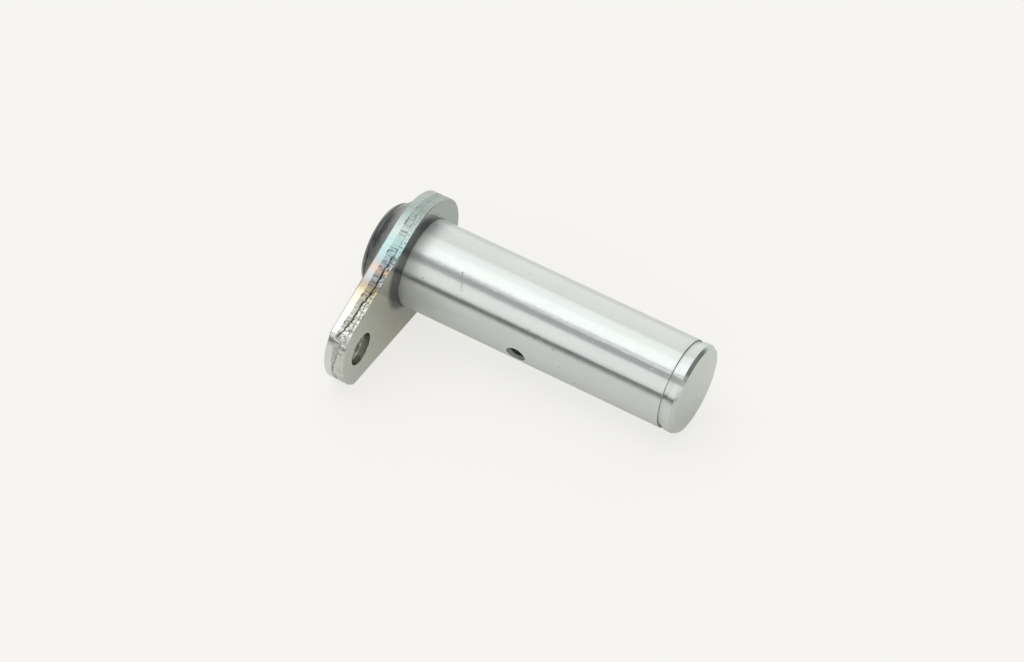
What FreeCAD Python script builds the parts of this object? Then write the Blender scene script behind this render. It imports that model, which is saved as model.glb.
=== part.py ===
import FreeCAD, Part
import math
import os
from FreeCAD import Placement, Rotation, Vector

# Steering cylinder pin: a ground steel pin with a punched retaining plate welded near one end.
# All sizes are in millimetres. X runs along the pin, from the plate's seating face to the free tip.
# The origin is where the pin's axis crosses that face. Z is up: the lower side of the plate's ear
# is level, as it is when the pin lies on a bench.

# Pin
pin_diameter = 30.0
shank_length = 97.8            # seating face to the flat end of the tip
tip_chamfer_length = 1.2
tip_chamfer_depth = 0.75
groove_width = 1.6             # for an external retaining ring
groove_depth = 0.7
groove_to_end = 3.55           # from the groove's outer wall to the end of the tip
shoulder_height = 0.25         # the tail is turned down by this, with a 45 degree step at the plate
tail_length = 7.85             # stands out behind the plate, to be welded
tail_chamfer = 1.5

# Grease way: a port in the tail, a gallery along the axis and one outlet in the shank
port_diameter = 9.0            # core of a fine thread for a grease nipple
port_depth = 10.0
port_countersink = 0.6
gallery_diameter = 5.0
outlet_distance = 42.3         # from the seating face
outlet_dip_angle = 18.5        # below the level, on the ear's side
outlet_diameter = 4.4
outlet_countersink_diameter = 6.7
outlet_countersink_angle = 90.0
drill_point_angle = 118.0

# Retaining plate
plate_thickness = 7.0
plate_rim_width = 6.9          # of plate round the pin, measured from the pin's surface
plate_fit = 0.05               # radial clearance between the pin's tail and the plate's hole
step_clearance = 0.1           # radial, from the pin's step to the countersink of the plate's hole
ear_taper_angle = 13.0         # each straight side of the ear to its centre line
bolt_hole_distance = 37.6      # from the pin's axis
bolt_hole_diameter = 11.0
ear_shoulder_margin = 4.9      # from the bolt hole's centre to where the straight sides end
ear_end_margin = 10.9          # from the bolt hole's centre to the end of the ear
ear_corner_radius = 0.8          # larger than the rounding of the back edge, which runs round it
die_roll_radius = 0.5          # rounded edge where the punch entered, at the back
front_edge_break = 0.15        # deburred edge of the seating face

# Weld bead behind the plate
weld_leg_on_plate = 6.4
weld_leg_on_pin = 5.8
weld_hollow = 0.5              # how far the middle of the bead's face lies below a flat one

pin_radius = pin_diameter / 2
tail_radius = pin_radius - shoulder_height
plate_round_radius = pin_radius + plate_rim_width
plate_hole_radius = tail_radius + plate_fit
plate_hole_mouth = pin_radius + step_clearance
plate_back = -plate_thickness
tail_end = plate_back - tail_length
along = Vector(1, 0, 0)
origin = Vector(0, 0, 0)


def turned(profile):
    """A solid turned about the X axis from a closed outline of (x, radius) points."""
    corners = [Vector(x, 0, radius) for x, radius in profile]
    outline = Part.makePolygon(corners + corners[:1])
    return Part.Face(outline).revolve(origin, along, 360)


def drilled(start, direction, diameter, depth):
    """A drill's path: a round hole that ends in a drill point."""
    radius = diameter / 2
    point_length = radius / math.tan(math.radians(drill_point_angle / 2))
    straight = Part.makeCylinder(radius, depth, start, direction)
    point = Part.makeCone(radius, 0, point_length, start + direction * depth, direction)
    return straight.fuse(point).removeSplitter()


def forward(dip_angle):
    """The direction across the pin on the ear's side, -Y, that dips below the level by an angle."""
    dip = math.radians(dip_angle)
    return Vector(0, -math.cos(dip), -math.sin(dip))


def make_pin():
    groove_outer = shank_length - groove_to_end
    groove_inner = groove_outer - groove_width
    groove_radius = pin_radius - groove_depth
    pin = turned([
        (tail_end, 0),
        (tail_end, tail_radius - tail_chamfer),
        (tail_end + tail_chamfer, tail_radius),
        (-shoulder_height, tail_radius),
        (0, pin_radius),
        (groove_inner, pin_radius),
        (groove_inner, groove_radius),
        (groove_outer, groove_radius),
        (groove_outer, pin_radius),
        (shank_length - tip_chamfer_length, pin_radius),
        (shank_length, pin_radius - tip_chamfer_depth),
        (shank_length, 0),
    ])
    return pin.cut(grease_way())


def grease_way():
    """The port, the gallery and the countersunk outlet as one cutting tool."""
    mouth = Vector(tail_end, 0, 0)
    port_radius = port_diameter / 2
    port = drilled(mouth, along, port_diameter, port_depth)
    lead = Part.makeCone(port_radius + port_countersink, port_radius, port_countersink, mouth, along)
    gallery = drilled(mouth, along, gallery_diameter, outlet_distance - tail_end)

    out = forward(outlet_dip_angle)
    centre = Vector(outlet_distance, 0, 0)
    outlet = Part.makeCylinder(outlet_diameter / 2, pin_radius, centre, out)
    sink_radius = outlet_countersink_diameter / 2
    slope = math.tan(math.radians(outlet_countersink_angle / 2))
    # The cone reaches its stated size where it meets the middle of the pin's round surface.
    overshoot = 2.0
    tip_height = pin_radius - sink_radius / slope
    cone_height = pin_radius - tip_height + overshoot
    sink = Part.makeCone(0, cone_height * slope, cone_height, centre + out * tip_height, out)
    return port.fuse([lead, gallery, outlet, sink])


def plate_outline():
    """The plate's edge, seen along the pin: the ear's centre line is +X here and the pin is at zero."""
    taper = math.radians(ear_taper_angle)
    side_start = Vector(math.sin(taper), math.cos(taper), 0) * plate_round_radius
    shoulder_x = bolt_hole_distance + ear_shoulder_margin
    shoulder_y = side_start.y - (shoulder_x - side_start.x) * math.tan(taper)
    shoulder = Vector(shoulder_x, shoulder_y, 0)
    ear_end = Vector(bolt_hole_distance + ear_end_margin, 0, 0)
    far_side = Vector(-plate_round_radius, 0, 0)
    lower_start = Vector(side_start.x, -side_start.y, 0)
    lower_shoulder = Vector(shoulder.x, -shoulder.y, 0)
    edges = [
        Part.LineSegment(side_start, shoulder),
        Part.Arc(shoulder, ear_end, lower_shoulder),
        Part.LineSegment(lower_shoulder, lower_start),
        Part.Arc(lower_start, far_side, side_start),
    ]
    return Part.Wire([edge.toShape() for edge in edges])


def make_plate():
    blank = Part.Face(plate_outline()).extrude(Vector(0, 0, plate_thickness))
    blank = blank.makeFillet(ear_corner_radius, shoulder_edges(blank))
    bolt_hole = Part.makeCylinder(bolt_hole_diameter / 2, plate_thickness, Vector(bolt_hole_distance, 0, 0))
    blank = blank.cut(bolt_hole)
    blank = blank.makeFillet(die_roll_radius, edges_at_height(blank, 0))
    blank = blank.makeChamfer(front_edge_break, edges_at_height(blank, plate_thickness))
    plate = blank.cut(pin_hole())
    plate.Placement = plate_placement()
    return plate


def pin_hole():
    """The plate's hole for the pin's tail, countersunk at the seating face, as one cutting tool."""
    bore = Part.makeCylinder(plate_hole_radius, plate_thickness, origin)
    depth = plate_hole_mouth - plate_hole_radius
    sink_floor = Vector(0, 0, plate_thickness - depth)
    sink = Part.makeCone(plate_hole_radius, plate_hole_mouth, depth, sink_floor)
    return bore.fuse(sink)


def shoulder_edges(shape):
    """The two edges along the thickness where the ear's straight sides meet its end arc."""
    shoulder_x = bolt_hole_distance + ear_shoulder_margin
    near = 0.001
    return [edge for edge in shape.Edges
            if all(abs(vertex.X - shoulder_x) < near for vertex in edge.Vertexes)
            and edge.BoundBox.ZLength > plate_thickness / 2]


def edges_at_height(shape, height):
    """The edges of a flat blank that lie wholly in one of its two faces."""
    box_tolerance = 0.001
    found = []
    for edge in shape.Edges:
        box = edge.BoundBox
        if abs(box.ZMin - height) < box_tolerance and abs(box.ZMax - height) < box_tolerance:
            found.append(edge)
    return found


def plate_placement():
    """Turns the flat blank on to the pin: its thickness along X, the ear's lower side level."""
    out = forward(ear_taper_angle)
    turn = Rotation(out, along.cross(out), along, "XZY")
    return Placement(Vector(plate_back, 0, 0), turn)


def make_weld():
    """A fillet bead in the corner between the plate's back and the pin's tail, a little hollow."""
    toe_on_plate = Vector(plate_back, 0, tail_radius + weld_leg_on_plate)
    toe_on_pin = Vector(plate_back - weld_leg_on_pin, 0, tail_radius)
    root = Vector(plate_back, 0, tail_radius)
    chord = toe_on_pin - toe_on_plate
    outward = Vector(chord.z, 0, -chord.x).normalize()
    middle = (toe_on_plate + toe_on_pin) * 0.5 - outward * weld_hollow
    section = Part.Wire([
        Part.Arc(toe_on_plate, middle, toe_on_pin).toShape(),
        Part.LineSegment(toe_on_pin, root).toShape(),
        Part.LineSegment(root, toe_on_plate).toShape(),
    ])
    return Part.Face(section).revolve(origin, along, 360)


parts = {
    "pin": make_pin(),
    "retaining_plate": make_plate(),
    "weld_bead": make_weld(),
}

os.makedirs("parts", exist_ok=True)
for name, shape in parts.items():
    solid = shape.Solids[0]
    solid.exportStep(f"parts/{name}.step")
    print(name, "valid", solid.isValid(), "solids", len(shape.Solids), "volume", round(solid.Volume, 1))
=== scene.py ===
import math
import bmesh
import bpy
import numpy as np
from mathutils import Matrix, Vector, noise


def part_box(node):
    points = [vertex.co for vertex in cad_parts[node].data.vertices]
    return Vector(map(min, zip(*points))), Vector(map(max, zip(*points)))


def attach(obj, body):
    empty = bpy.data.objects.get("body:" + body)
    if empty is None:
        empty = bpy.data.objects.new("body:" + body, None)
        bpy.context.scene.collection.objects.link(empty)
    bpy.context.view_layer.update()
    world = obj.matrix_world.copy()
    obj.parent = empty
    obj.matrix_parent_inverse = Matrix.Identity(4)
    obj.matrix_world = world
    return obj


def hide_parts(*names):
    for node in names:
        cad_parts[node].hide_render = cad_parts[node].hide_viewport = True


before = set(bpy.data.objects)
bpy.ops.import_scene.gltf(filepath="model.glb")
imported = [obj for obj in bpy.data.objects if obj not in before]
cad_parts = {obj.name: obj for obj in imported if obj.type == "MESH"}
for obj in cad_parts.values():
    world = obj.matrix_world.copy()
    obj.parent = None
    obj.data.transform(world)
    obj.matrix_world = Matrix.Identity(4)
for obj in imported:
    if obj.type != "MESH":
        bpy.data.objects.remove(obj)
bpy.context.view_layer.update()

# Steering cylinder pin: a ground pin, a punched retaining plate and the weld between them.
# The sizes below are in millimetres, and Blender works in metres.
mm = 0.001

pinLow, pinHigh = (np.array(corner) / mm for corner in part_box("pin"))
plateLow, plateHigh = (np.array(corner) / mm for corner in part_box("retaining_plate"))
weldLow, weldHigh = (np.array(corner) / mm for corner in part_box("weld_bead"))
tailEnd = pinLow[0]
tipEnd = pinHigh[0]
pinRadius = pinHigh[2]
plateBack = plateLow[0]
plateRadius = plateHigh[2]
weldEnd = weldLow[0]
weldRadius = weldHigh[2]
# each side of the ear tapers by this, and the ear dips as much, so its lower side is level
earDip = math.radians(13)
earLine = np.array([0, -math.cos(earDip), -math.sin(earDip)])
acrossEar = np.array([0, -math.sin(earDip), math.cos(earDip)])


# sRGB hex to the linear values that shaders work in
def linearColour(hexCode):
    parts = [int(hexCode[i:i + 2], 16) / 255 for i in (1, 3, 5)]
    return [p / 12.92 if p <= 0.04045 else ((p + 0.055) / 1.055) ** 2.4 for p in parts] + [1.0]


# adds one node: settings are attributes, input values or colour stops, links go from sockets or nodes
def addNode(tree, kind, settings=None, links=None):
    node = tree.nodes.new("ShaderNode" + kind)
    for key, value in (settings or {}).items():
        if key == "stops":
            elements = node.color_ramp.elements
            while len(elements) < len(value):
                elements.new(0.5)
            for element, (position, colour) in zip(elements, value):
                element.position = position
                element.color = linearColour(colour) if isinstance(colour, str) else colour
        elif isinstance(key, str) and hasattr(node, key):
            setattr(node, key, value)
        else:
            node.inputs[key].default_value = value
    for key, source in (links or {}).items():
        output = source if isinstance(source, bpy.types.NodeSocket) else source.outputs[0]
        tree.links.new(output, node.inputs[key])
    return node


def emptyMaterial(name):
    material = bpy.data.materials.new(name)
    material.use_nodes = True
    material.node_tree.nodes.clear()
    return material, material.node_tree


# turns lists of points in millimetres and faces into an object
def meshObject(name, points, faces, materials, faceMaterials=None, flatFaces=(), sharpDegrees=35):
    mesh = bpy.data.meshes.new(name)
    mesh.from_pydata([tuple(p) for p in np.asarray(points) * mm], [], faces)
    for material in materials:
        mesh.materials.append(material)
    if faceMaterials is not None:
        mesh.polygons.foreach_set("material_index", faceMaterials)
    smooth = np.ones(len(mesh.polygons), dtype=bool)
    smooth[list(flatFaces)] = False
    mesh.polygons.foreach_set("use_smooth", smooth)
    mesh.update()
    mesh.set_sharp_from_angle(angle=math.radians(sharpDegrees))
    piece = bpy.data.objects.new(name, mesh)
    bpy.context.collection.objects.link(piece)
    return piece


# quads between rings of equally many points, each ring closed
def quadsBetween(ringStarts, count):
    faces = []
    for low, high in zip(ringStarts[:-1], ringStarts[1:]):
        for i in range(count):
            j = (i + 1) % count
            faces.append((low + i, low + j, high + j, high + i))
    return faces


print("stage: materials")

# nearly all of a noise texture's values lie in this range
noiseSpan = {"From Min": 0.3, "From Max": 0.7}
softly = {"interpolation_type": "SMOOTHSTEP"}
# what the plate's mesh tells its material: the torn bands, the painted shade of cracks and seams, the
# cut edge and the bore
edgeMarks = ("fracture", "crack", "cutEdge", "bore")

groundLook = {
    "steel": "#DADFDC",          # ground steel under soft light, a little green
    "straw": "#C4BA98",          # first heat colour, next to the plate only
    "strawDepth": 0.3,
    "strawReachMm": 1.6,
    "bakedReachMm": 6.0,         # the weld's heat left a duller skin this far from the plate
    "bakedRoughness": 0.08,
    "roughness": 0.29,
    "mottleRoughness": (-0.01, 0.02),
    "spread": 0.92,              # the lay runs round the shaft, so reflections spread along it
    "layPitchMm": 0.45,          # grinding lines are finer, drawn as coarse as the render shows
    "layNarrow": 0.04,           # a line's width as a share of its length
    "layHeightMm": 0.0005,
    "patchMm": 18.0,             # broad patches, darkest at the shade below
    "patchShade": 0.965,
    "mottleMm": 1.4,             # fine dents, so the bands of light waver at their edges
    "mottleHeightMm": 0.022,
    "pitCellMm": 2.8,
    "pitRadiusMm": 0.18,
    "pitDepthMm": 0.012,
    "pitStain": 0.25,
    "pitRoughness": 0.15,
    "nickRagged": 0.9,           # how far a nick's outline strays, as a share of its size
}

turnedLook = {
    "steel": "#CFD6D0",
    "roughness": 0.22,
    "feedMm": 0.35,              # the lathe's feed for each turn
    "grooveHeightMm": 0.0025,
    "blotchMm": 6.0,
}

drilledAndShadedLook = {
    "steel": "#8C918D",          # the drill leaves a duller wall, and grease stays on it; on the groove's walls this darker colour is painted shade
    "roughness": 0.5,
    "feedMm": 0.3,
    "grooveHeightMm": 0.02,
    "blotchMm": 2.0,
}

scaleLook = {
    "skin": [(0.3, "#484B4A"), (0.45, "#565C5D"), (0.55, "#484B4A"), (0.68, "#63605B")],
    "roughness": 0.2,
    "blotchMm": 5.0,
    "grainMm": 0.35,
    "grainHeightMm": 0.006,
}

punchedLook = {
    # colours out from the pin's axis, over the face's own span: heat colours, and painted shade that
    # darkens the face towards the pin
    "faceSpanMm": (14, 49),
    "faceTintsAndShade": [(0.00, "#A9AAA2"), (0.07, "#B4B5AB"), (0.20, "#BDBDB1"), (0.34, "#C3C3B5"),
                  (0.50, "#C8CABE"), (0.75, "#CCD1C7"), (1.00, "#CED3CB")],
    # heat colours of the cut edge, over a span along the ear's line
    "edgeSpanMm": (-22, 44),
    "edgeTints": [(0.00, "#BFC7C3"), (0.30, "#A8B4AF"), (0.36, "#B0BEB9"), (0.43, "#BCCAC5"),
                  (0.48, "#AFCAC8"), (0.54, "#AAC4C5"), (0.585, "#A9B4B8"), (0.626, "#D0BAA6"),
                  (0.664, "#B7BEC2"), (0.695, "#AFA7A1"), (0.727, "#BAAE8A"), (0.762, "#D5D0B8"),
                  (0.82, "#E1E1D5"), (1.00, "#E2E4DD")],
    "tintStrayMm": 3.0,          # the colours stray this far, in patches of the size below
    "tintPatchMm": 5.0,
    "shaftImageShade": "#44474A",          # painted shade: the dark mirror image of the shaft's underside in the glossy face beside the pin
    "shaftImageDepth": 0.94,
    "shaftImageCentreMm": (0, -5.6, 4.6),
    "shaftImageRadiusMm": 16.0,
    "shaftImageSoftMm": 1.5,
    "coolSide": "#A5ADA8",       # the face away from the ear, greyer than the rest
    "coolSpanMm": (12, -10),
    "faceRoughness": 0.12,
    "burnishRoughness": 0.2,
    "fractureRoughness": 0.28,
    "fractureShade": -0.36,      # torn steel returns less light, the cracks and seams get painted shade, and the bore is drawn darker
    # painted shade in the cracks, seams and steps of the cut edge
    "crackShade": -0.5,
    "boreShade": 0.6,
    "rollMarkMm": 1.6,
    "rollShade": (0.9, 1.02),
    "striationMm": 0.45,
    "striationNarrow": 0.08,     # lines across the edge, likewise far longer than wide
    "striationHeightMm": 0.03,
    "grainMm": 0.5,
    "grainHeightMm": 0.012,
}


# Ground steel: a fine lay runs round the shaft, so it reflects in soft bands along its length
def groundSteel(look, nicks):
    material, tree = emptyMaterial("groundSteel")
    place = addNode(tree, "TexCoord").outputs["Object"]
    along = addNode(tree, "SeparateXYZ", {}, {0: place}).outputs[0]
    patches = addNode(tree, "TexNoise", {"Scale": 1 / (look["patchMm"] * mm), "Detail": 3.0},
                      {"Vector": place})
    mottle = addNode(tree, "TexNoise", {"Scale": 1 / (look["mottleMm"] * mm), "Detail": 4.0},
                     {"Vector": place})
    narrowed = (1, look["layNarrow"], look["layNarrow"])
    stretched = addNode(tree, "VectorMath", {"operation": "MULTIPLY", 1: narrowed}, {0: place})
    lay = addNode(tree, "TexNoise", {"Scale": 1 / (look["layPitchMm"] * mm), "Detail": 2.0},
                  {"Vector": stretched})
    cells = addNode(tree, "TexVoronoi", {"Scale": 1 / (look["pitCellMm"] * mm)}, {"Vector": place})
    pitEdge = look["pitRadiusMm"] / look["pitCellMm"]
    pits = addNode(tree, "MapRange", {**softly, "From Min": pitEdge, "From Max": pitEdge * 0.4},
                   {"Value": cells.outputs["Distance"]})
    marks = pits.outputs[0]
    stainsAndGlints = addNode(tree, "Math", {"operation": "MULTIPLY", 1: look["pitStain"]}, {0: marks})
    ragged = addNode(tree, "Math", {"operation": "MULTIPLY_ADD", 1: look["nickRagged"],
                     2: -look["nickRagged"] / 2}, {0: mottle})
    for nick in nicks:
        offset = addNode(tree, "VectorMath", {"operation": "SUBTRACT", 1: nick["centre"]}, {0: place})
        scaled = addNode(tree, "VectorMath", {"operation": "MULTIPLY", 1: nick["perSize"]}, {0: offset})
        size = addNode(tree, "VectorMath", {"operation": "LENGTH"}, {0: scaled})
        edge = addNode(tree, "Math", {"operation": "ADD"}, {0: size.outputs["Value"], 1: ragged})
        mask = addNode(tree, "MapRange", {**softly, "From Min": 1.0, "From Max": 0.5}, {"Value": edge})
        # a negative share is a painted highlight, lighter and without a dent
        stainsAndGlints = addNode(tree, "Math", {"operation": "MULTIPLY_ADD", 1: nick["stainAndGlint"]},
                         {0: mask, 2: stainsAndGlints})
        if nick["stainAndGlint"] > 0:
            marks = addNode(tree, "Math", {"operation": "MAXIMUM"}, {0: marks, 1: mask}).outputs[0]
    warm = addNode(tree, "MapRange", {"From Max": look["strawReachMm"] * mm,
                   "To Min": look["strawDepth"], "To Max": 0.0}, {"Value": along})
    tinted = addNode(tree, "Mix", {"data_type": "RGBA", 6: linearColour(look["steel"]),
                     7: linearColour(look["straw"])}, {0: warm})
    shade = addNode(tree, "MapRange", {**noiseSpan, "To Min": look["patchShade"]}, {"Value": patches})
    dulled = addNode(tree, "Math", {"operation": "SUBTRACT"}, {0: shade, 1: stainsAndGlints})
    colour = addNode(tree, "VectorMath", {"operation": "SCALE"}, {0: tinted.outputs[2], "Scale": dulled})
    smoother, duller = look["mottleRoughness"]
    rough = addNode(tree, "MapRange", {**noiseSpan, "To Min": look["roughness"] + smoother,
                    "To Max": look["roughness"] + duller}, {"Value": mottle})
    pitted = addNode(tree, "Math", {"operation": "MULTIPLY_ADD", 1: look["pitRoughness"]},
                     {0: marks, 2: rough})
    baked = addNode(tree, "MapRange", {**softly, "From Max": look["bakedReachMm"] * mm,
                    "To Min": look["bakedRoughness"], "To Max": 0.0}, {"Value": along})
    rougher = addNode(tree, "Math", {"operation": "ADD"}, {0: pitted, 1: baked})
    layBump = addNode(tree, "Bump", {"Distance": look["layHeightMm"] * mm}, {"Height": lay})
    mottleBump = addNode(tree, "Bump", {"Distance": look["mottleHeightMm"] * mm},
                         {"Height": mottle, "Normal": layBump})
    pitBump = addNode(tree, "Bump", {"Distance": look["pitDepthMm"] * mm, "invert": True},
                      {"Height": marks, "Normal": mottleBump})
    lines = addNode(tree, "Tangent", {"direction_type": "RADIAL", "axis": "X"})
    # a quarter turn lays the spread along the shaft, across the grinding lines
    shader = addNode(tree, "BsdfPrincipled", {"Metallic": 1.0, "Anisotropic": look["spread"],
                     "Anisotropic Rotation": 0.25},
                     {"Base Color": colour, "Roughness": rougher, "Normal": pitBump, "Tangent": lines})
    addNode(tree, "OutputMaterial", {}, {"Surface": shader})
    return material


# Turned steel: rings from the tool's feed, which catch the light as fine circles and lines
def turnedSteel(name, look):
    material, tree = emptyMaterial(name)
    place = addNode(tree, "TexCoord").outputs["Object"]
    flatPart = addNode(tree, "VectorMath", {"operation": "MULTIPLY", 1: (0, 1, 1)}, {0: place})
    radius = addNode(tree, "VectorMath", {"operation": "LENGTH"}, {0: flatPart}).outputs["Value"]
    along = addNode(tree, "SeparateXYZ", {}, {0: place}).outputs[0]
    sweep = addNode(tree, "Math", {"operation": "ADD"}, {0: radius, 1: along})
    turns = addNode(tree, "CombineXYZ", {}, {0: sweep})
    slow = addNode(tree, "VectorMath", {"operation": "MULTIPLY_ADD", 1: (0.05, 0.05, 0.05)},
                   {0: place, 2: turns})
    rings = addNode(tree, "TexNoise", {"Scale": 1 / (look["feedMm"] * mm), "Detail": 2.0},
                    {"Vector": slow})
    blotch = addNode(tree, "TexNoise", {"Scale": 1 / (look["blotchMm"] * mm), "Detail": 4.0},
                     {"Vector": place})
    shade = addNode(tree, "MapRange", {**noiseSpan, "To Min": 0.9}, {"Value": blotch})
    colour = addNode(tree, "VectorMath", {"operation": "SCALE", 0: linearColour(look["steel"])[:3]},
                     {"Scale": shade})
    rough = addNode(tree, "MapRange", {**noiseSpan, "To Min": look["roughness"] - 0.04,
                    "To Max": look["roughness"] + 0.06}, {"Value": blotch})
    bump = addNode(tree, "Bump", {"Distance": look["grooveHeightMm"] * mm}, {"Height": rings})
    shader = addNode(tree, "BsdfPrincipled", {"Metallic": 1.0},
                     {"Base Color": colour, "Roughness": rough, "Normal": bump})
    addNode(tree, "OutputMaterial", {}, {"Surface": shader})
    return material


# Mill and weld scale: a dark glassy oxide skin, brown to blue, with fine grain
def burntScale(look):
    material, tree = emptyMaterial("burntScale")
    place = addNode(tree, "TexCoord").outputs["Object"]
    blotch = addNode(tree, "TexNoise", {"Scale": 1 / (look["blotchMm"] * mm), "Detail": 4.0},
                     {"Vector": place})
    grain = addNode(tree, "TexNoise", {"Scale": 1 / (look["grainMm"] * mm), "Detail": 3.0},
                    {"Vector": place})
    colour = addNode(tree, "ValToRGB", {"stops": look["skin"]}, {0: blotch})
    rough = addNode(tree, "MapRange", {"From Min": 0.35, "From Max": 0.65,
                    "To Min": look["roughness"] - 0.06, "To Max": look["roughness"] + 0.1},
                    {"Value": grain})
    bump = addNode(tree, "Bump", {"Distance": look["grainHeightMm"] * mm}, {"Height": grain})
    shader = addNode(tree, "BsdfPrincipled", {"Metallic": 0.9, "Coat Weight": 0.35,
                     "Coat Roughness": 0.12},
                     {"Base Color": colour, "Roughness": rough, "Normal": bump})
    addNode(tree, "OutputMaterial", {}, {"Surface": shader})
    return material


# Punched steel: rolled faces, a bright sheared band and a dull torn one on the cut edge, heat colours
# and painted shade
def punchedSteel(look):
    material, tree = emptyMaterial("punchedSteel")
    place = addNode(tree, "TexCoord").outputs["Object"]
    fracture, crack, cutEdge, bore = (
        addNode(tree, "Attribute", {"attribute_name": name}).outputs["Fac"] for name in edgeMarks)
    reach = addNode(tree, "VectorMath", {"operation": "DOT_PRODUCT", 1: tuple(earLine)},
                    {0: place}).outputs["Value"]
    stray = addNode(tree, "TexNoise", {"Scale": 1 / (look["tintPatchMm"] * mm), "Detail": 3.0},
                    {"Vector": place})
    strayed = addNode(tree, "Math", {"operation": "MULTIPLY_ADD", 1: look["tintStrayMm"] * mm,
                      2: -look["tintStrayMm"] / 2 * mm}, {0: stray})
    heat = addNode(tree, "Math", {"operation": "ADD"}, {0: reach, 1: strayed})
    flatPart = addNode(tree, "VectorMath", {"operation": "MULTIPLY", 1: (0, 1, 1)}, {0: place})
    radius = addNode(tree, "VectorMath", {"operation": "LENGTH"}, {0: flatPart}).outputs["Value"]
    spans = []
    for name, source in (("edgeSpanMm", heat), ("faceSpanMm", radius), ("coolSpanMm", reach)):
        start, end = look[name]
        spans.append(addNode(tree, "MapRange", {"From Min": start * mm, "From Max": end * mm},
                             {"Value": source}))
    alongEdge, acrossFace, farSide = spans
    edgeTint = addNode(tree, "ValToRGB", {"stops": look["edgeTints"]}, {0: alongEdge})
    # heat colours, and painted shade darker towards the pin
    faceTintAndShade = addNode(tree, "ValToRGB", {"stops": look["faceTintsAndShade"]}, {0: acrossFace})
    # painted shade beside the pin: a soft disc shaped like the shaft's dark mirror image in the face
    shaftImageCentre = tuple(size * mm for size in look["shaftImageCentreMm"])
    shaftImageOffset = addNode(tree, "VectorMath", {"operation": "DISTANCE", 1: shaftImageCentre}, {0: flatPart})
    shaftImageRadius, shaftImageSoft = look["shaftImageRadiusMm"], look["shaftImageSoftMm"]
    shaftImageShare = addNode(tree, "MapRange", {**softly, "From Min": (shaftImageRadius + shaftImageSoft) * mm,
                   "From Max": (shaftImageRadius - shaftImageSoft) * mm, "To Max": look["shaftImageDepth"]},
                   {"Value": shaftImageOffset.outputs["Value"]})
    face = faceTintAndShade.outputs[0]
    for colour, share in ((look["coolSide"], farSide), (look["shaftImageShade"], shaftImageShare)):
        face = addNode(tree, "Mix", {"data_type": "RGBA", 7: linearColour(colour)},
                       {0: share, 6: face}).outputs[2]
    tint = addNode(tree, "Mix", {"data_type": "RGBA"}, {0: cutEdge, 6: face, 7: edgeTint})
    rolled = addNode(tree, "TexNoise", {"Scale": 1 / (look["rollMarkMm"] * mm), "Detail": 5.0},
                     {"Vector": place})
    darkRoll, lightRoll = look["rollShade"]
    shade = addNode(tree, "MapRange", {**noiseSpan, "To Min": darkRoll, "To Max": lightRoll},
                    {"Value": rolled})
    # the torn band is duller, and the cracks and seams get painted shade
    for mark, share in ((fracture, look["fractureShade"]), (crack, look["crackShade"])):
        shade = addNode(tree, "Math", {"operation": "MULTIPLY_ADD", 1: share}, {0: mark, 2: shade})
    # the bolt hole's wall is drawn darker
    darkerBore = addNode(tree, "MapRange", {"To Min": 1.0, "To Max": look["boreShade"]}, {"Value": bore})
    shadeWithBore = addNode(tree, "Math", {"operation": "MULTIPLY"}, {0: shade, 1: darkerBore})
    colour = addNode(tree, "VectorMath", {"operation": "SCALE"}, {0: tint.outputs[2], "Scale": shadeWithBore})
    smoothEdge = addNode(tree, "Mix", {2: look["faceRoughness"], 3: look["burnishRoughness"]},
                         {0: cutEdge})
    rough = addNode(tree, "Mix", {3: look["fractureRoughness"]}, {0: fracture, 2: smoothEdge})
    narrowed = (look["striationNarrow"], 1, 1)
    stretched = addNode(tree, "VectorMath", {"operation": "MULTIPLY", 1: narrowed}, {0: place})
    striae = addNode(tree, "TexNoise", {"Scale": 1 / (look["striationMm"] * mm), "Detail": 3.0},
                     {"Vector": stretched})
    grain = addNode(tree, "TexNoise", {"Scale": 1 / (look["grainMm"] * mm), "Detail": 4.0},
                    {"Vector": place})
    striaeHeight = addNode(tree, "Math", {"operation": "MULTIPLY"}, {0: striae, 1: cutEdge})
    striaeBump = addNode(tree, "Bump", {"Distance": look["striationHeightMm"] * mm},
                         {"Height": striaeHeight})
    bump = addNode(tree, "Bump", {"Distance": look["grainHeightMm"] * mm},
                   {"Height": grain, "Normal": striaeBump})
    shader = addNode(tree, "BsdfPrincipled", {"Metallic": 1.0},
                     {"Base Color": colour, "Roughness": rough, "Normal": bump})
    addNode(tree, "OutputMaterial", {}, {"Surface": shader})
    return material


# a nick on the shank: millimetres from the plate, degrees up from the front, and its half sizes
# a negative stain is a painted highlight: a spot drawn lighter where a dent would catch the light
def nickAt(alongMm, upDegrees, halfAlongMm, halfRoundMm, stainAndGlint=0.25):
    turn = math.radians(upDegrees)
    centre = (alongMm * mm, -pinRadius * mm * math.cos(turn), pinRadius * mm * math.sin(turn))
    perSize = (1 / (halfAlongMm * mm), 1 / (halfRoundMm * mm), 1 / (halfRoundMm * mm))
    return {"centre": centre, "perSize": perSize, "stainAndGlint": stainAndGlint}


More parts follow.
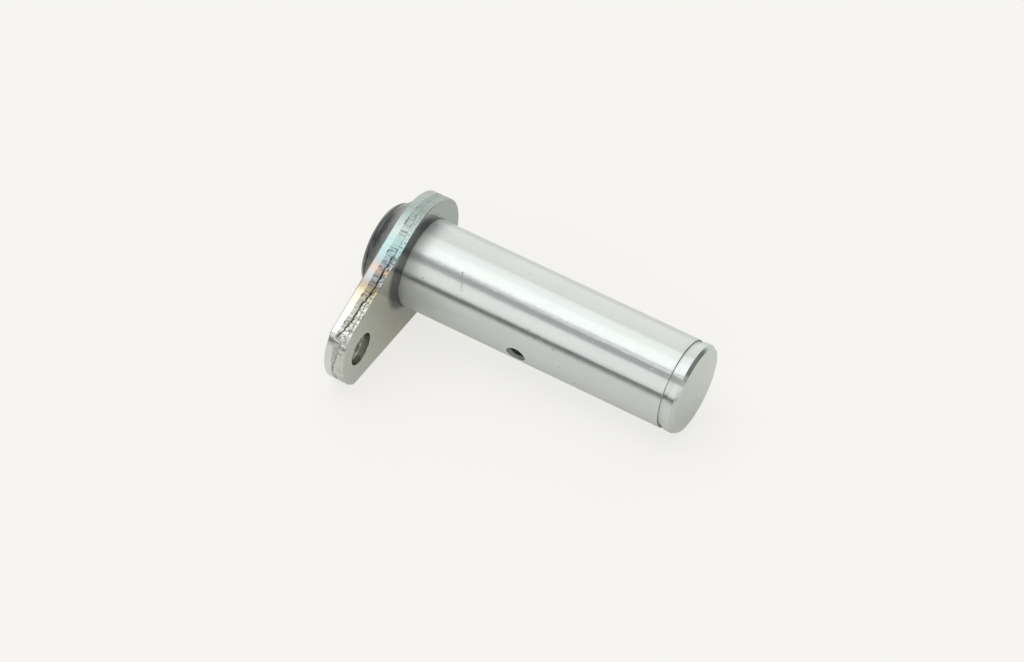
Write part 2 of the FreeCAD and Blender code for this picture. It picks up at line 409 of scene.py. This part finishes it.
nicks = [
    nickAt(1.4, -10.8, 0.3, 0.3),
    nickAt(6.9, 29.8, 0.4, 0.4, stainAndGlint=0.15),
    # a painted highlight
    nickAt(9.5, 102.4, 0.5, 0.6, stainAndGlint=-0.2),
    nickAt(10.9, -3.3, 0.35, 0.3),
    nickAt(12.2, 11.5, 0.3, 0.45, stainAndGlint=0.15),
    nickAt(25.2, 9.2, 0.3, 0.3, stainAndGlint=0.15),
    nickAt(35.2, 7.7, 0.3, 0.25, stainAndGlint=0.15),
    nickAt(36.8, 94, 0.6, 0.35, stainAndGlint=0.1),
    nickAt(44.9, 28, 0.35, 0.3),
    nickAt(54.7, 18.4, 0.42, 0.4, stainAndGlint=0.45),
    nickAt(57.9, -2.4, 0.35, 0.3),
    nickAt(63.3, -20.8, 0.45, 0.42, stainAndGlint=0.45),
    # two painted highlights
    nickAt(86.4, 48.6, 0.5, 0.4, stainAndGlint=-0.25),
    nickAt(87.8, 51, 0.35, 0.35, stainAndGlint=-0.25),
]
# one scratch runs aslant round the shaft and fades
for k in range(7):
    scratchMm = 18.1 + 0.35 * k + 0.12 * math.sin(2.3 * k)
    nicks.append(nickAt(scratchMm, 55.6 - 3.1 * k, 0.4, 0.55, stainAndGlint=0.26 - 0.03 * k))

groundMaterial = groundSteel(groundLook, nicks)
turnedMaterial = turnedSteel("turnedSteel", turnedLook)
drilledAndShadedMaterial = turnedSteel("drilledAndShadedSteel", drilledAndShadedLook)
scaleMaterial = burntScale(scaleLook)
punchedMaterial = punchedSteel(punchedLook)


print("stage: pin")

pinSizes = {
    "segments": 384,
    "shoulderHeight": 0.25,
    "shoulderSink": 0.5,         # the shank starts this far inside the rolled edge of the plate's hole
    "tailChamfer": 1.5,
    "tailEase": (0.25, 0.4),     # the tail's two chamfer edges under their scale
    "portRadius": 4.5,
    "portDepth": 10.0,
    "portCountersink": 0.6,
    "galleryRadius": 2.5,
    "drillPointDegrees": 118,
    "grooveStart": 92.65,
    "grooveWidth": 1.6,
    "grooveDepth": 0.7,
    "tipChamferLength": 1.2,
    "tipChamferDepth": 0.75,
    "edgeEase": 0.08,            # every turned edge is broken by this much
    "grooveEdge": 0.2,           # the shank's edge at the groove is broken wider and catches the light
    "rimWaver": 0.05,            # the tip's edges are a little uneven, the last one most
    "chamferWaver": 0.025,
    "grooveWaver": (0.025, 0.02),
    "ringStep": 2.0,             # along the shank
    "outletAlong": 42.3,
    "outletDipDegrees": 18.5,    # below the level, on the ear's side
    "outletRadius": 2.2,
    "outletSinkRadius": 3.35,
    "outletSinkDegrees": 90,
    "outletSegments": 96,
}

pinMaterials = [groundMaterial, turnedMaterial, scaleMaterial, drilledAndShadedMaterial]
ground, turned, scaled, drilledAndShaded = range(4)


# a closed turned skin about X: each stop is (x, radius, ease, waver, finish), from axis to axis
def turnedSkin(name, stops, segments, ringStep):
    easeSteps = 3  # an eased corner is a short curve of this many chords
    rings = []
    for k, (x, radius, ease, waver, finish) in enumerate(stops):
        if ease == 0:
            rings.append((x, radius, waver, finish))
            continue
        here = Vector((x, radius))
        before = (Vector(stops[k - 1][:2]) - here).normalized()
        after = (Vector(stops[k + 1][:2]) - here).normalized()
        for step in range(easeSteps + 1):
            blend = step / easeSteps
            corner = here + before * ease * (1 - blend) ** 2 + after * ease * blend ** 2
            rings.append((corner.x, corner.y, waver, finish))
    full = []
    for here, following in zip(rings[:-1], rings[1:]):
        full.append(here)
        steps = int(abs(following[0] - here[0]) // ringStep)
        for step in range(1, steps + 1):
            share = step / (steps + 1)
            between = [a + (b - a) * share for a, b in zip(here[:3], following[:3])]
            full.append((*between, here[3]))
    full.append(rings[-1])
    points = [(full[0][0], 0, 0)]
    ringStarts = []
    for x, radius, waver, finish in full[1:-1]:
        ringStarts.append(len(points))
        for i in range(segments):
            turn = 2 * math.pi * i / segments
            y, z = math.cos(turn), math.sin(turn)
            uneven = 0.0
            if waver:
                # a slow and a quick wave round the rim
                slow = noise.noise(Vector((y, z, 0)) * 5)
                quick = noise.noise(Vector((y, z, 3)) * 19)
                uneven = waver * (slow + 0.8 * quick)
            points.append((x + uneven * 0.5, (radius + uneven) * y, (radius + uneven) * z))
    last = len(points)
    points.append((full[-1][0], 0, 0))
    around = [(i, (i + 1) % segments) for i in range(segments)]
    faces = [(0, ringStarts[0] + j, ringStarts[0] + i) for i, j in around]
    faces.extend(quadsBetween(ringStarts, segments))
    faces.extend((ringStarts[-1] + i, ringStarts[-1] + j, last) for i, j in around)
    # each band of faces has the finish of the ring that it starts from
    finishes = [ring[3] for ring in full[:-1] for i in range(segments)]
    return meshObject(name, points, faces, pinMaterials, finishes)


def buildPin(sizes):
    slope = math.tan(math.radians(sizes["drillPointDegrees"] / 2))
    ease = sizes["edgeEase"]
    portR, galleryR = sizes["portRadius"], sizes["galleryRadius"]
    tailR = pinRadius - sizes["shoulderHeight"]
    portEnd = tailEnd + sizes["portDepth"]
    portTip = portEnd + (portR - galleryR) / slope
    galleryEnd = sizes["outletAlong"]
    grooveStart = sizes["grooveStart"]
    grooveEnd = grooveStart + sizes["grooveWidth"]
    grooveR = pinRadius - sizes["grooveDepth"]
    brokenR = pinRadius - sizes["grooveEdge"] * 1.1  # just below the groove's broken edge
    chamferStart = tipEnd - sizes["tipChamferLength"]
    innerEase, outerEase = sizes["tailEase"]
    nearWaver, farWaver = sizes["grooveWaver"]
    stops = [
        (galleryEnd + galleryR / slope, 0, 0, 0, turned),
        (galleryEnd, galleryR, 0, 0, turned),
        (portTip, galleryR, 0, 0, turned),
        (portEnd, portR, 0, 0, turned),
        (tailEnd + sizes["portCountersink"], portR, 0, 0, turned),
        (tailEnd, portR + sizes["portCountersink"], ease, 0, turned),
        (tailEnd, tailR - sizes["tailChamfer"], innerEase, 0, scaled),
        (tailEnd + sizes["tailChamfer"], tailR, outerEase, 0, scaled),
        (-sizes["shoulderHeight"] - sizes["shoulderSink"], tailR, 0, 0, ground),
        (-sizes["shoulderSink"], pinRadius, 0, 0, ground),
        (grooveStart, pinRadius, sizes["grooveEdge"], nearWaver, turned),
        # the groove's walls take the darker drilled colour as painted shade
        (grooveStart, brokenR, 0, 0, drilledAndShaded),
        (grooveStart, grooveR, ease, 0, ground),
        (grooveEnd, grooveR, ease, 0, drilledAndShaded),
        (grooveEnd, pinRadius, ease, farWaver, ground),
        (chamferStart, pinRadius, ease, sizes["chamferWaver"], turned),
        (tipEnd, pinRadius - sizes["tipChamferDepth"], ease, sizes["rimWaver"], turned),
        (tipEnd, 0, 0, 0, turned),
    ]
    pin = turnedSkin("groundPin", stops, sizes["segments"], sizes["ringStep"])
    cutOutlet(pin, sizes)
    return pin


# cuts the countersunk grease outlet with a turned tool, which leaves its own finish on the wall
def cutOutlet(pin, sizes):
    cone = math.tan(math.radians(sizes["outletSinkDegrees"] / 2))
    sinkStart = pinRadius - (sizes["outletSinkRadius"] - sizes["outletRadius"]) / cone
    below, above = 0.5, pinRadius + 1  # from inside the gallery to outside the shank
    stops = [
        (below, 0, 0, 0, drilledAndShaded),
        (below, sizes["outletRadius"], 0, 0, drilledAndShaded),
        (sinkStart, sizes["outletRadius"], 0, 0, drilledAndShaded),
        (above, sizes["outletRadius"] + (above - sinkStart) * cone, 0, 0, drilledAndShaded),
        (above, 0, 0, 0, drilledAndShaded),
    ]
    tool = turnedSkin("outletTool", stops, sizes["outletSegments"], above)
    dip = math.radians(sizes["outletDipDegrees"])
    out = Vector((0, -math.cos(dip), -math.sin(dip)))
    turn = out.to_track_quat("X", "Z").to_matrix().to_4x4()
    tool.data.transform(Matrix.Translation((sizes["outletAlong"] * mm, 0, 0)) @ turn)
    cut = pin.modifiers.new("outlet", "BOOLEAN")
    cut.operation = "DIFFERENCE"
    cut.solver = "EXACT"
    cut.object = tool
    evaluated = pin.evaluated_get(bpy.context.evaluated_depsgraph_get())
    carved = bpy.data.meshes.new_from_object(evaluated)
    pin.modifiers.clear()
    pin.data = carved
    pin.data.set_sharp_from_angle(angle=math.radians(30))
    bpy.data.objects.remove(tool)


groundPin = buildPin(pinSizes)


print("stage: plate")

plateSizes = {
    "boltDistance": 37.6,
    "boltRadius": 5.5,
    "shoulderMargin": 5.7,
    "endMargin": 10.9,
    "cornerRadius": 1.2,
    "dieRoll": 0.5,
    "frontBreak": 0.15,
    "capMargin": 0.15,           # a face is flat from this far inside its rounded edge
    "holeRadius": 14.8,
    "holeGap": 0.02,             # round the shank, at the mouth of its hole
    "holeRollAcross": 0.55,      # the front edge of the pin's hole is drawn in by the punch
    "holeRollDeep": 0.5,
    "step": 0.16,                # between points on the cut edge
    "holeStep": 0.25,            # and round the pin's hole
    # the sheared band's end, from the front face, by millimetres round from the ear's end
    "burnishPath": [(0, -4.2), (12, -4.4), (13, -4.9), (16, -4.6), (22, -4.4), (32, -4.2), (90, -4.15)],
    "fractureDepth": 0.14,       # the torn bands lie this far inside the sheared one
    "relief": 0.5,
    "shingle": (1.25, 4.5),      # along the edge and across the thickness
    "lump": (1.4, 1.61),
    "grain": (0.5, 0.7),
    "chips": [(0, 0.5), (11, 0.6), (13, 1.5), (14, 1.4), (44, 1.4), (52, 0.8), (90, 0.7)],
    "crackDepth": 0.32,
    # the crack's place across the thickness and its strength, likewise
    "crackPath": [(0, -3.9), (4, -3.0), (8, -2.8), (12, -2.4), (13, -4.3), (16, -3.3), (20, -2.7),
                  (26, -2.6), (31, -1.8), (37, -2.0), (46, -1.5), (60, -2.4), (90, -3.0)],
    "crackStrength": [(0, 0.8), (6, 0.7), (9, 0.3), (12, 0.4), (14, 1.0), (38, 1.0), (44, 0.5),
                      (50, 0.15), (90, 0.3), (172, 0.3), (176, 0.8)],
    "crackToFront": 0.9,         # the crack keeps this far from the front face
    "ledge": -1.25,              # a second thin tear in the torn band
    "ledgeDepth": 0.14,
    "lipDepth": 0.1,             # a faint step where the sheared band ends
    # how these lines wander: millimetres along the edge and to each side, and a seed
    "burnishWander": [(1.1, 0.14, 1), (6, 0.2, 2), (0.5, 0.05, 12)],
    "crackWander": [(2.2, 0.35, 4), (0.8, 0.2, 5), (0.35, 0.06, 13)],
    "ledgeWander": [(3, 0.25, 10), (0.6, 0.1, 11)],
}


# points and outward normals of an arc, without its last point
def arcPoints(centre, radius, first, last, step):
    count = max(2, round(abs(last - first) * radius / step))
    points = []
    for k in range(count):
        turn = first + (last - first) * k / count
        normal = Vector((math.cos(turn), math.sin(turn)))
        points.append((centre + normal * radius, normal))
    return points


# the plate's outline in its own plane: the ear runs along the first axis
def plateOutline(sizes, step):
    taper, big = earDip, plateRadius
    sideNormal = Vector((math.sin(taper), math.cos(taper)))
    side = sideNormal * big
    shoulderX = sizes["boltDistance"] + sizes["shoulderMargin"]
    shoulderY = side.y - (shoulderX - side.x) * math.tan(taper)
    endX = sizes["boltDistance"] + sizes["endMargin"]
    height = endX - shoulderX
    endRadius = (shoulderY ** 2 + height ** 2) / (2 * height)
    endCentre = Vector((endX - endRadius, 0))
    small = sizes["cornerRadius"]
    # the corner's centre is one small radius inside both the side and the end arc
    start = side - sideNormal * small - endCentre
    run = Vector((math.cos(taper), -math.sin(taper)))
    reach = start.dot(run) ** 2 - start.dot(start) + (endRadius - small) ** 2
    travel = math.sqrt(reach) - start.dot(run)
    corner = endCentre + start + run * travel
    endNormal = (corner - endCentre).normalized()
    endTurn = math.atan2(endNormal.y, endNormal.x)
    sideTurn = math.pi / 2 - taper
    upper = arcPoints(endCentre, endRadius, 0, endTurn, step)
    upper += arcPoints(corner, small, endTurn, sideTurn, step)
    lineStart = corner + sideNormal * small
    count = round((side - lineStart).length / step)
    for k in range(count):
        upper.append((lineStart.lerp(side, k / count), sideNormal))
    upper += arcPoints(Vector((0, 0)), big, sideTurn, math.pi, step)
    last = (Vector((-big, 0)), Vector((-1, 0)))
    lower = [(Vector((p.x, -p.y)), Vector((n.x, -n.y))) for p, n in reversed(upper[1:])]
    return upper + [last] + lower


def inFrame(point, x):
    place = earLine * point.x + acrossEar * point.y
    return (x, place[1], place[2])


# a smooth random value at one place along the cut edge, for a grain in millimetres
def wander(travel, grain, seed):
    return noise.noise(Vector((travel / grain, seed * 7.3, 0.5)))


def wanderSum(travel, layers):
    return sum(height * wander(travel, grain, seed) for grain, height, seed in layers)


# a value along a path of (travel, value) points
def valueAlong(path, travel):
    for (t0, v0), (t1, v1) in zip(path[:-1], path[1:]):
        if travel < t1:
            share = max(0.0, (travel - t0) / (t1 - t0))
            return v0 + (v1 - v0) * share
    return path[-1][1]


# how deep a soft groove is at a distance from its middle line, from 0 to 1
def hollow(distance, width):
    return math.exp(-(distance / width) ** 2)


# how far the cut edge stands out at one place, how torn it is and how much painted shade lies in its
# cracks, seams and steps
def cutEdgeForm(travel, x, sizes):
    burnishEnd = valueAlong(sizes["burnishPath"], travel) + wanderSum(travel, sizes["burnishWander"])
    crackAt = valueAlong(sizes["crackPath"], travel) + wanderSum(travel, sizes["crackWander"])
    crackAt = min(max(crackAt, burnishEnd + 0.05), -sizes["crackToFront"])
    strength = valueAlong(sizes["crackStrength"], travel)
    ledgeAt = sizes["ledge"] + wanderSum(travel, sizes["ledgeWander"])
    # long shingles stand across the first torn band, rounder lumps crowd the second
    warp = 0.35 * wander(travel, 1.5, 6)
    (shingleLong, shingleHigh), (lumpLong, lumpHigh) = sizes["shingle"], sizes["lump"]
    shingle = noise.voronoi(Vector(((travel + warp * x) / shingleLong, x / shingleHigh, 2.0)))[0]
    lump = noise.voronoi(Vector((travel / lumpLong, x / lumpHigh, 9.0)))[0]
    grainLong, grainHigh = sizes["grain"]
    grain = noise.fractal(Vector((travel / grainLong, x / grainHigh, 4.0)), 1.0, 2.0, 3)
    seam = 0.0
    if x < burnishEnd:
        stand = 0.015 * wander(travel, 0.5, 7) + 0.012 * wander(travel, 1.6, 14)
        torn = 0.0
    elif x < crackAt:
        share = (x - burnishEnd) / max(crackAt - burnishEnd, 0.3)
        stand = -sizes["fractureDepth"] * (0.3 + 0.7 * share)
        stand += sizes["relief"] * (0.25 - shingle[0] ** 2) + 0.03 * grain
        seam = max(0.0, 1 - (shingle[1] - shingle[0]) / 0.22) * 0.8
        torn = 0.3 + 0.6 * strength
    else:
        chips = valueAlong(sizes["chips"], travel)
        stand = 0.02 + sizes["relief"] * chips * (0.2 - lump[0] ** 2) + 0.035 * grain
        seam = max(0.0, 1 - (lump[1] - lump[0]) / 0.2) * (0.45 + 0.9 * wander(travel, 1.3, 15))
        torn = 0.3
    seam = min(max(seam, 0.0), 1.0) * (0.35 + 0.65 * strength)
    stand *= 0.5 + 0.5 * strength
    crack = hollow(x - crackAt, 0.21 + 0.1 * wander(travel, 0.9, 8))
    crack *= (1 + 0.5 * wander(travel, 1.6, 9)) * strength
    lip = hollow(x - burnishEnd - 0.05, 0.11) * (0.6 + 0.6 * wander(travel, 1.2, 16))
    # the second tear shows only where it is clear of the crack
    ledge = hollow(x - ledgeAt, 0.13) * strength if crackAt < ledgeAt - 0.35 else 0.0
    stand -= sizes["crackDepth"] * crack + sizes["lipDepth"] * lip + sizes["ledgeDepth"] * ledge
    # painted shade, darkest in the crack and fainter in the lip, the second tear and the seams between
    # shingles and lumps
    dark = crack + 0.35 * lip + 0.4 * ledge + 0.4 * seam
    return stand, torn, min(max(dark, 0), 1)


# rings of a wall across the plate's thickness, with their edge marks
def wallRings(outline, levels, form, bored):
    rings, values, travels = [], [], []
    travel, previous = 0.0, outline[0][0]
    for point, normal in outline:
        travel += (point - previous).length
        travels.append(travel)
        previous = point
    for x, inset, onEdge in levels:
        ring, value = [], []
        for (point, normal), distance in zip(outline, travels):
            stand, torn, crack = form(distance, x) if onEdge else (0.0, 0.0, 0.0)
            ring.append(inFrame(point + normal * (stand - inset), x))
            value.append((torn, crack, float(onEdge), float(onEdge and bored)))
        rings.append(ring)
        values.append(value)
    return rings, values


# the levels of a wall from back to front: (x, inset, whether it belongs to the cut edge)
def wallLevels(sizes):
    roll, front, margin = sizes["dieRoll"], sizes["frontBreak"], sizes["capMargin"]
    rollSteps = 6
    levels = [(plateBack, roll + margin, False)]
    for k in range(rollSteps + 1):
        turn = math.pi / 2 * k / rollSteps
        levels.append((plateBack + roll * (1 - math.cos(turn)), roll * (1 - math.sin(turn)), k > 1))
    wallStart, wallEnd = plateBack + roll, -front
    count = round((wallEnd - wallStart) / sizes["step"])
    for k in range(1, count + 1):
        levels.append((wallStart + (wallEnd - wallStart) * k / count, 0, True))
    levels.append((-front * 0.35, front * 0.4, True))  # the deburred edge is a little round
    levels.append((0, front, False))
    levels.append((0, front + margin, False))
    return levels


# the pin's hole from back to front, with its drawn-in edge
def pinHoleLevels(sizes):
    across, deep = sizes["holeRollAcross"], sizes["holeRollDeep"]
    seat = pinRadius + sizes["holeGap"] - sizes["holeRadius"]
    rollSteps = 5
    levels = [(plateBack, 0, False), (-deep - seat, 0, False)]
    for k in range(rollSteps + 1):
        turn = math.pi / 2 * k / rollSteps
        levels.append((-deep * (1 - math.sin(turn)), -seat - across * (1 - math.cos(turn)), False))
    return levels


def buildPlate(sizes):
    step = sizes["step"]
    levels = wallLevels(sizes)
    outer = plateOutline(sizes, step)
    travelEnd = sum((a[0] - b[0]).length for a, b in zip(outer, outer[1:] + outer[:1]))

    def outerForm(travel, x):
        # the end of the outline runs into its start without a jump, over 6 mm
        fade = min(1.0, (travelEnd - travel) / 6)
        stand, torn, crack = cutEdgeForm(travel, x, sizes)
        if fade < 1:
            other = cutEdgeForm(travel - travelEnd, x, sizes)
            stand, torn, crack = (a * fade + b * (1 - fade) for a, b in zip((stand, torn, crack), other))
        # the relief dies out in the last 0.3 mm before the front face
        return stand * min(1.0, -x / 0.3), torn, crack

    def boltForm(travel, x):
        # punched from the front, so it is burnished there and torn towards the back
        stand, torn, crack = cutEdgeForm(travel * 1.3 + 300, plateBack - x, sizes)
        return -stand, torn, crack

    boltLevels = [(x, -inset, onEdge) for x, inset, onEdge in levels]
    boltCentre, whole = Vector((sizes["boltDistance"], 0)), 2 * math.pi
    boltOutline = arcPoints(boltCentre, sizes["boltRadius"], 0, whole, step)
    holeOutline = arcPoints(Vector((0, 0)), sizes["holeRadius"], 0, whole, sizes["holeStep"])
    walls = [(outer, levels, outerForm, False), (boltOutline, boltLevels, boltForm, True),
             (holeOutline, pinHoleLevels(sizes), None, True)]
    points, values, faces, flat = [], [], [], []
    backLoops, frontLoops = [], []
    for outline, wall, form, bored in walls:
        rings, ringValues = wallRings(outline, wall, form, bored)
        starts = []
        for ring, value in zip(rings, ringValues):
            starts.append(len(points))
            points.extend(ring)
            values.extend(value)
        quads = quadsBetween(starts, len(rings[0]))
        faces.extend([q[::-1] for q in quads] if bored else quads)
        backLoops.append(range(starts[0], starts[0] + len(rings[0])))
        frontLoops.append(range(starts[-1], starts[-1] + len(rings[0])))
    for loops, outward in ((backLoops, -1), (frontLoops, 1)):
        cap = flatCap(points, loops, outward)
        flat.extend(range(len(faces), len(faces) + len(cap)))
        faces.extend(cap)
    plate = meshObject("punchedPlate", points, faces, [punchedMaterial], flatFaces=flat, sharpDegrees=60)
    for k, name in enumerate(edgeMarks):
        layer = plate.data.attributes.new(name, "FLOAT", "POINT")
        layer.data.foreach_set("value", [value[k] for value in values])
    return plate


# triangles that fill a flat face with holes, from its closed loops of point numbers
def flatCap(points, loops, outward):
    work = bmesh.new()
    edges, numbers = [], {}
    for loop in loops:
        ring = []
        for number in loop:
            vertex = work.verts.new(Vector(points[number]))
            numbers[vertex] = number
            ring.append(vertex)
        for a, b in zip(ring, ring[1:] + ring[:1]):
            edges.append(work.edges.new((a, b)))
    result = bmesh.ops.triangle_fill(work, use_beauty=True, use_dissolve=False, edges=edges,
                                     normal=(outward, 0, 0))
    cap = []
    for face in result["geom"]:
        if isinstance(face, bmesh.types.BMFace):
            face.normal_update()
            order = [numbers[vertex] for vertex in face.verts]
            cap.append(tuple(order if face.normal.x * outward > 0 else order[::-1]))
    work.free()
    return cap


punchedPlate = buildPlate(plateSizes)


print("stage: weld")

weldSizes = {
    "hollow": 0.5,
    "swell": 0.12,               # slow rise and fall of the bead's face
    "rippleSpacing": 1.0,
    "rippleHeight": 0.05,
    "rippleLag": 0.9,            # the middle of each ripple trails its ends
    "rippleStray": 0.8,
    "toeWander": 0.25,
    "toeInset": 0.2,             # keeps the wandering toe inside the solid's
    "pinToeShare": 0.6,          # the toe on the pin wanders less than the one on the plate
    "around": 640,
    "across": 30,
}


def buildWeld(sizes):
    around, across = sizes["around"], sizes["across"]
    tailR = pinRadius - pinSizes["shoulderHeight"]
    turns = [2 * math.pi * i / around for i in range(around)]
    points, starts = [], []
    for k in range(across + 1):
        starts.append(len(points))
        share = k / across
        bow = 4 * share * (1 - share)
        for turn in turns:
            ring = Vector((math.cos(turn), math.sin(turn), 0))
            toe = sizes["toeWander"] * noise.noise(ring * 3.1) - sizes["toeInset"]
            legPlate = weldRadius - tailR + toe
            legPin = plateBack - weldEnd + toe * sizes["pinToeShare"]
            travel = turn * (tailR + legPlate / 2)
            phase = (travel + sizes["rippleLag"] * bow) / sizes["rippleSpacing"]
            phase += sizes["rippleStray"] * noise.noise(ring * 9)
            ripple = (abs(phase % 1 - 0.5) * 2) ** 1.5 - 0.5
            swell = noise.noise(ring * 6 + Vector((0, 0, share * 2)))
            lift = bow * (sizes["rippleHeight"] * ripple + sizes["swell"] * swell - sizes["hollow"])
            slope = math.hypot(legPlate, legPin)
            x = plateBack - legPin * share - lift * legPlate / slope
            radius = tailR + legPlate * (1 - share) + lift * legPin / slope
            points.append((x, radius * math.cos(turn), radius * math.sin(turn)))
    starts.append(len(points))
    points.extend((plateBack, tailR * math.cos(turn), tailR * math.sin(turn)) for turn in turns)
    faces = [face[::-1] for face in quadsBetween([starts[-1]] + starts, around)]
    return meshObject("weldBead", points, faces, [scaleMaterial], sharpDegrees=50)


weldBead = buildWeld(weldSizes)


print("stage: bodies")

for piece, node, finish in ((groundPin, "pin", "ground_steel"),
                            (punchedPlate, "retaining_plate", "punched_steel"),
                            (weldBead, "weld_bead", "burnt_weld")):
    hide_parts(node)
    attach(piece, "root")


print("stage: floor, light and camera")

benchLook = {
    "bench": "#F2F0EC",
    "roughness": 0.9,
    "shine": 0.1,
    "plain": "#FCFBF7",          # with the lit share this gives the background's colour
    "plainShare": 0.75,          # share of the bench that is plain colour to the eye
    "mirroredShare": 0.25,       # the same share for its image in the metal
    "sizeMm": 6000,
    "frontEdgeMm": 260,          # in front of the pin the bench ends here
    "gapMm": 0.03,
}


# the bench touches the plate's lower front edge and the tip's lower rim, so it slopes a little here
def buildBench(look):
    material, tree = emptyMaterial("paleBench")
    bench = addNode(tree, "BsdfPrincipled", {"Base Color": linearColour(look["bench"]),
                    "Roughness": look["roughness"], "Specular IOR Level": look["shine"]})
    plain = addNode(tree, "Emission", {"Color": linearColour(look["plain"]), "Strength": 1.0})
    rays = addNode(tree, "LightPath")
    mirrored = addNode(tree, "Math", {"operation": "MULTIPLY", 1: look["mirroredShare"]},
                       {0: rays.outputs["Is Glossy Ray"]})
    share = addNode(tree, "Math", {"operation": "MULTIPLY_ADD", 1: look["plainShare"]},
                    {0: rays.outputs["Is Camera Ray"], 2: mirrored})
    shader = addNode(tree, "MixShader", {}, {0: share, 1: bench, 2: plain})
    addNode(tree, "OutputMaterial", {}, {"Surface": shader})
    touchX = -plateSizes["frontBreak"]
    rimX = tipEnd - pinSizes["tipChamferLength"]
    slope = (plateRadius - pinRadius) / (rimX - touchX)
    half = look["sizeMm"] / 2
    edge = -look["frontEdgeMm"]
    middle = tipEnd / 2
    points = []
    for x, y in ((-half, edge), (half, edge), (half, half), (-half, half)):
        z = -plateRadius + (middle + x - touchX) * slope - look["gapMm"]
        points.append((middle + x, y, z))
    floor = meshObject("paleBench", points, [(0, 1, 2, 3)], [material], flatFaces=[0])


roomLight = {
    "background": "#F5F4F0",
    "strength": 1.6,             # of the brightest panel
    # soft panels run along the pin: degrees from the front horizon over the top, and light
    "panels": [(-180, 1.0), (-150, 0.8), (-8, 0.8), (-5, 0.07), (4, 0.07), (9, 1.1), (39, 1.12),
               (46, 0.5), (59, 0.46), (68, 1.6), (93, 1.55), (97, 1.38), (117, 1.33), (122, 0.97),
               (127, 1.1), (180, 1.07)],
    # the right side is dark behind, and towards its far end also overhead
    "darkLight": 0.25,
    "rightEnd": (0.22, 0.45),    # it fades in between these, by how far a ray points right
    "overTop": (61, 72),         # or by its degrees
    "rightBack": (0.1, 0.28),
    "behind": (108, 122),
    "notBelow": (184, 164),
    "leftEnd": (-0.6, -0.85),    # the left end is dimmer
    "leftDim": 0.4,
}


def buildRoom(look):
    world = bpy.data.worlds.new("studio")
    bpy.context.scene.world = world
    world.use_nodes = True
    tree = world.node_tree
    tree.nodes.clear()
    direction = addNode(tree, "TexCoord").outputs["Generated"]
    parts = addNode(tree, "SeparateXYZ", {}, {0: direction})
    rightward = parts.outputs[0]
    front = addNode(tree, "Math", {"operation": "MULTIPLY", 1: -1.0}, {0: parts.outputs[1]})
    turn = addNode(tree, "Math", {"operation": "ARCTAN2"}, {0: parts.outputs[2], 1: front})
    level = addNode(tree, "MapRange", {"From Min": -math.pi, "From Max": math.pi}, {"Value": turn})

    def at(degrees):
        return 0.5 + degrees / 360

    def fade(name, source):
        start, end = look[name] if source is rightward else map(at, look[name])
        return addNode(tree, "MapRange", {**softly, "From Min": start, "From Max": end},
                       {"Value": source})

    def grey(light):
        return (light / look["strength"],) * 3 + (1,)

    stops = [(at(degrees), grey(light)) for degrees, light in look["panels"]]
    panels = addNode(tree, "ValToRGB", {"stops": stops}, {0: level})
    farther = addNode(tree, "Math", {"operation": "MULTIPLY"},
                      {0: fade("rightEnd", rightward), 1: fade("overTop", level)})
    nearer = addNode(tree, "Math", {"operation": "MULTIPLY"},
                     {0: fade("rightBack", rightward), 1: fade("behind", level)})
    dark = addNode(tree, "Math", {"operation": "MAXIMUM"}, {0: farther, 1: nearer})
    darkPart = addNode(tree, "Math", {"operation": "MULTIPLY"}, {0: dark, 1: fade("notBelow", level)})
    light = addNode(tree, "Mix", {"data_type": "RGBA", 7: grey(look["darkLight"])},
                    {0: darkPart, 6: panels})
    leftStart, leftEnd = look["leftEnd"]
    dim = addNode(tree, "MapRange", {**softly, "From Min": leftStart, "From Max": leftEnd,
                  "To Min": 1.0, "To Max": look["leftDim"]}, {"Value": rightward})
    dimmed = addNode(tree, "VectorMath", {"operation": "SCALE"}, {0: light.outputs[2], "Scale": dim})
    room = addNode(tree, "Background", {"Strength": look["strength"]}, {"Color": dimmed})
    backdrop = addNode(tree, "Background", {"Color": linearColour(look["background"]), "Strength": 1.0})
    rays = addNode(tree, "LightPath")
    shown = addNode(tree, "MixShader", {}, {0: rays.outputs["Is Camera Ray"], 1: room, 2: backdrop})
    addNode(tree, "OutputWorld", {}, {"Surface": shown})


# where the photo was taken from: its axis passes the pin at aim, and the picture leans by roll
cameraShot = {
    "aimMm": (36.15, -5.6, -5.1),
    "azimuthDegrees": 24.6,      # from the front towards the tip's side
    "elevationDegrees": 45.03,
    "rollDegrees": 7.43,
    "distanceMm": 1258.3,
    "sensorMm": 36.0,
    "lensMm": 141.43,
}


def buildCamera(shot):
    turns = ("azimuthDegrees", "elevationDegrees", "rollDegrees")
    azimuth, elevation, roll = (math.radians(shot[name]) for name in turns)
    level = math.cos(elevation)
    back = Vector((math.sin(azimuth) * level, -math.cos(azimuth) * level, math.sin(elevation)))
    side = Vector((0, 0, 1)).cross(back).normalized()
    above = back.cross(side)
    right = side * math.cos(roll) + above * math.sin(roll)
    up = above * math.cos(roll) - side * math.sin(roll)
    place = Vector(shot["aimMm"]) * mm + back * shot["distanceMm"] * mm
    data = bpy.data.cameras.new("photoCamera")
    data.sensor_width = shot["sensorMm"]
    data.lens = shot["lensMm"]
    camera = bpy.data.objects.new("photoCamera", data)
    bpy.context.collection.objects.link(camera)
    camera.matrix_world = Matrix.Translation(place) @ Matrix((right, up, back)).transposed().to_4x4()
    bpy.context.scene.camera = camera


buildBench(benchLook)
buildRoom(roomLight)
buildCamera(cameraShot)
bpy.context.scene.view_settings.view_transform = "Standard"

print("stage: done")
